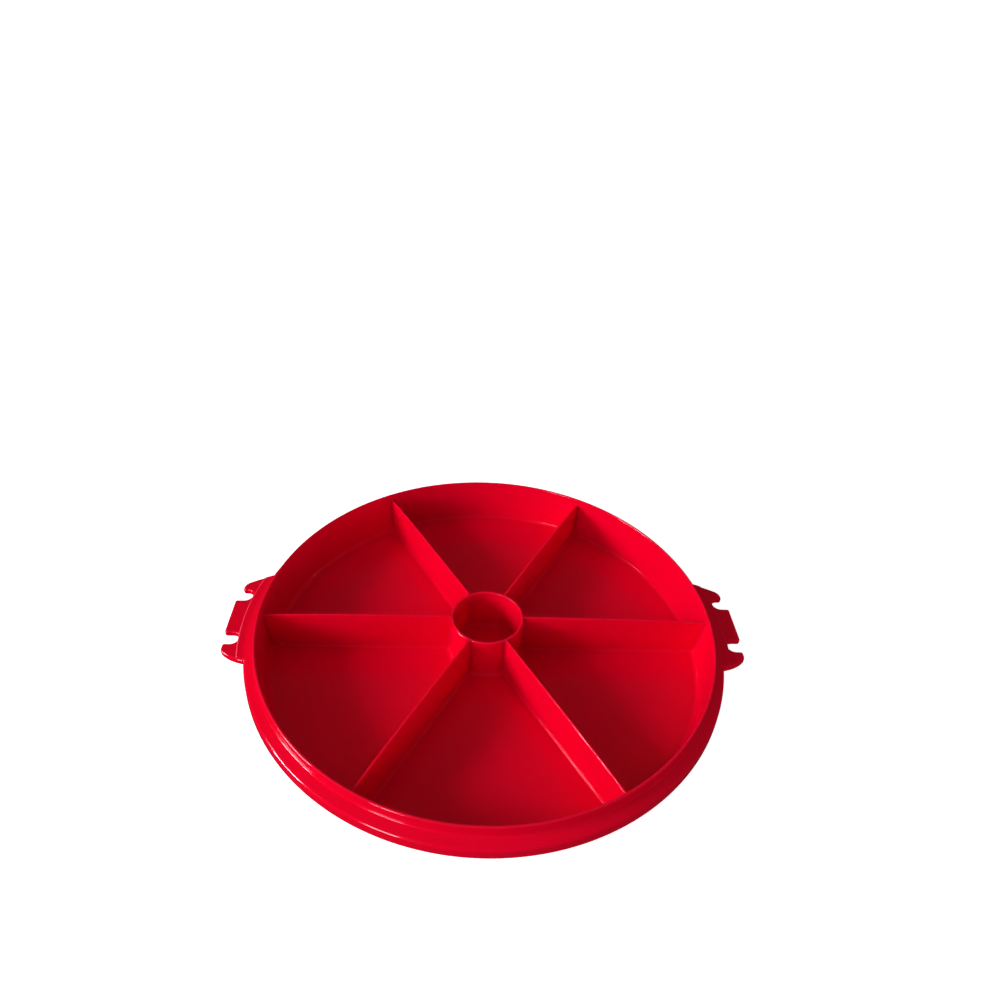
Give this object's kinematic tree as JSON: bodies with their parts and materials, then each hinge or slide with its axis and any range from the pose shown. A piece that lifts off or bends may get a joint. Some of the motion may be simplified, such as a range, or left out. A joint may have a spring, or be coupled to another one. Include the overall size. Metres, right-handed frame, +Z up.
{
  "type": "divided serving tray",
  "caption": "Round red plastic serving tray with wedge compartments around a centre cup, an upright sealing lip, a sloping rim ledge and notched clip lugs at its sides.",
  "frame": {"origin": "under the centre of the tray, on the surface that it stands on", "axes": "+Z up, +X towards the right-hand lug, +Y towards the back"},
  "size_m": [0.3374, 0.3094, 0.0355],
  "materials": {
    "red_plastic": "glossy injection moulded, coloured through"
  },
  "bodies": {
    "root": {"floor_disc": "red_plastic", "foot_ring": "red_plastic", "side_wall": "red_plastic", "rim_ledge": "red_plastic", "rim_skirt": "red_plastic", "sealing_lip": "red_plastic", "hub_ring": "red_plastic", "divider_right": "red_plastic", "divider_back_right": "red_plastic", "divider_back_left": "red_plastic", "divider_left": "red_plastic", "divider_front_left": "red_plastic", "divider_front_right": "red_plastic", "lug_right": "red_plastic", "lug_left": "red_plastic"}
  },
  "joints": []
}
